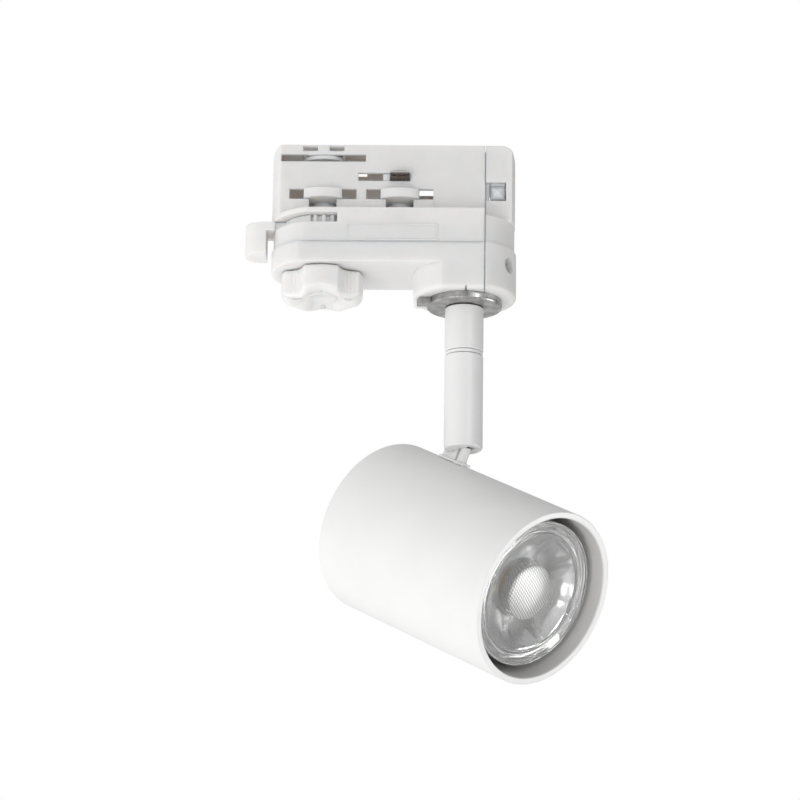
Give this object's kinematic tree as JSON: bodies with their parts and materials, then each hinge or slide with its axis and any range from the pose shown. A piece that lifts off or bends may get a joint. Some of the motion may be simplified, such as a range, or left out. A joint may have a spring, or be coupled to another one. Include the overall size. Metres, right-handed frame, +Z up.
{
  "type": "track spotlight",
  "caption": "White track spotlight: adapter with lock lever and phase knob, swivelling stem, and a tilting cylindrical head that holds a reflector lamp.",
  "frame": {"origin": "in the flat top face of the track adapter, on the axis of the stem", "axes": "+Z up towards the ceiling, X along the track with the stem at the +X end, -Y towards the adapter's front face"},
  "size_m": [0.125, 0.0942, 0.1911],
  "materials": {
    "adapter_plastic": "white moulded plastic, fine satin grain",
    "moving_plastic": "white moulded plastic, slightly glossier",
    "stem_paint": "white powder coat on steel",
    "tube_paint": "white powder coat on aluminium",
    "zinc_steel": "zinc plated steel",
    "contact_metal": "nickel plated spring contact",
    "brass": "plain brass",
    "ceramic": "unglazed steatite",
    "terminal_plastic": "white polyamide",
    "lead_brown": "brown insulation",
    "lead_blue": "blue insulation",
    "lead_green": "green and yellow insulation",
    "lead_white": "white silicone",
    "lamp_plastic": "white thermoplastic lamp housing",
    "lamp_clear": "clear lamp optic",
    "led_board_white": "white solder mask",
    "led_phosphor": "yellow phosphor"
  },
  "bodies": {
    "adapter": {"adapter_housing": "adapter_plastic", "base_cover": "adapter_plastic", "end_cap": "adapter_plastic", "end_screw": "zinc_steel", "latch_spring_front": "zinc_steel", "latch_spring_rear": "zinc_steel", "terminal_block": "terminal_plastic", "terminal_screw_1": "brass", "terminal_screw_2": "brass", "terminal_screw_3": "brass", "lead_live": "lead_brown", "lead_neutral": "lead_blue", "lead_earth": "lead_green", "ring_washer": "zinc_steel", "threaded_nipple": "brass", "nipple_nut": "zinc_steel", "upper_stem": "stem_paint", "swivel_ring": "stem_paint", "swivel_washer": "zinc_steel"},
    "lever": {"lock_lever": "moving_plastic", "lock_cam_left": "moving_plastic"},
    "right_cam": {"cam_gear": "moving_plastic", "lock_cam_right": "moving_plastic", "neutral_contact": "contact_metal"},
    "selector": {"phase_knob": "moving_plastic", "phase_shaft": "moving_plastic", "phase_rotor": "moving_plastic", "phase_contact": "brass"},
    "front_peg": {"latch_peg_front": "moving_plastic"},
    "rear_peg": {"latch_peg_rear": "moving_plastic"},
    "swivel": {"lower_stem": "stem_paint", "swivel_bolt": "zinc_steel", "swivel_nut": "brass", "hinge_screw": "zinc_steel", "hinge_washer_near": "zinc_steel", "hinge_washer_far": "zinc_steel"},
    "spot": {"hinge_lug": "stem_paint", "lead_sleeve": "lead_white", "lug_nut": "zinc_steel", "spot_tube": "tube_paint", "rear_cap": "tube_paint", "holder_bracket": "zinc_steel", "lamp_socket": "ceramic", "rear_cap_screw_1": "zinc_steel", "rear_cap_screw_2": "zinc_steel", "socket_screw_1": "zinc_steel", "socket_screw_2": "zinc_steel", "socket_contact_1": "brass", "socket_contact_2": "brass", "lamp_lead_1": "lead_white", "lamp_lead_2": "lead_white"},
    "lamp": {"lamp_body": "lamp_plastic", "lamp_bezel": "lamp_clear", "lamp_lens": "lamp_clear", "lamp_base": "lamp_plastic", "lamp_pin_1": "brass", "lamp_pin_2": "brass", "led_board": "led_board_white", "led_emitter": "led_phosphor"}
  },
  "joints": [
    {"name": "lever_turn", "type": "hinge", "parent": "adapter", "child": "lever", "pos_m": [-0.04917, 0, -0.029], "axis": [0, 0, 1], "range_deg": [0, 90]},
    {"name": "right_cam_turn", "type": "hinge", "parent": "adapter", "child": "right_cam", "pos_m": [-0.0226, 0, -0.029], "axis": [0, 0, 1], "range_deg": [-90, 0]},
    {"name": "phase_select", "type": "hinge", "parent": "adapter", "child": "selector", "pos_m": [-0.04917, 0, -0.0498], "axis": [0, 0, 1], "range_deg": [0, 270]},
    {"name": "front_peg_press", "type": "slide", "parent": "adapter", "child": "front_peg", "axis": [0, 1, 0], "range_m": [0, 0.001], "stiffness_N_per_m": 400, "springref_m": -0.001},
    {"name": "rear_peg_press", "type": "slide", "parent": "adapter", "child": "rear_peg", "axis": [0, -1, 0], "range_m": [0, 0.001], "stiffness_N_per_m": 400, "springref_m": -0.001},
    {"name": "stem_swivel", "type": "hinge", "parent": "adapter", "child": "swivel", "pos_m": [0, 0, -0.0734], "axis": [0, 0, 1], "range_deg": [-175, 175]},
    {"name": "tube_tilt", "type": "hinge", "parent": "swivel", "child": "spot", "pos_m": [0, 0, -0.1034], "axis": [0.6468, 0.7627, 0], "range_deg": [-26.9, 63.1]},
    {"name": "lamp_twist", "type": "hinge", "parent": "spot", "child": "lamp", "pos_m": [0.02389, -0.02026, -0.16235], "axis": [0.6801, -0.5768, -0.4524], "range_deg": [0, 20]}
  ],
  "couplings": [
    {"joint": "right_cam_turn", "follows": "lever_turn", "ratio": -1}
  ]
}
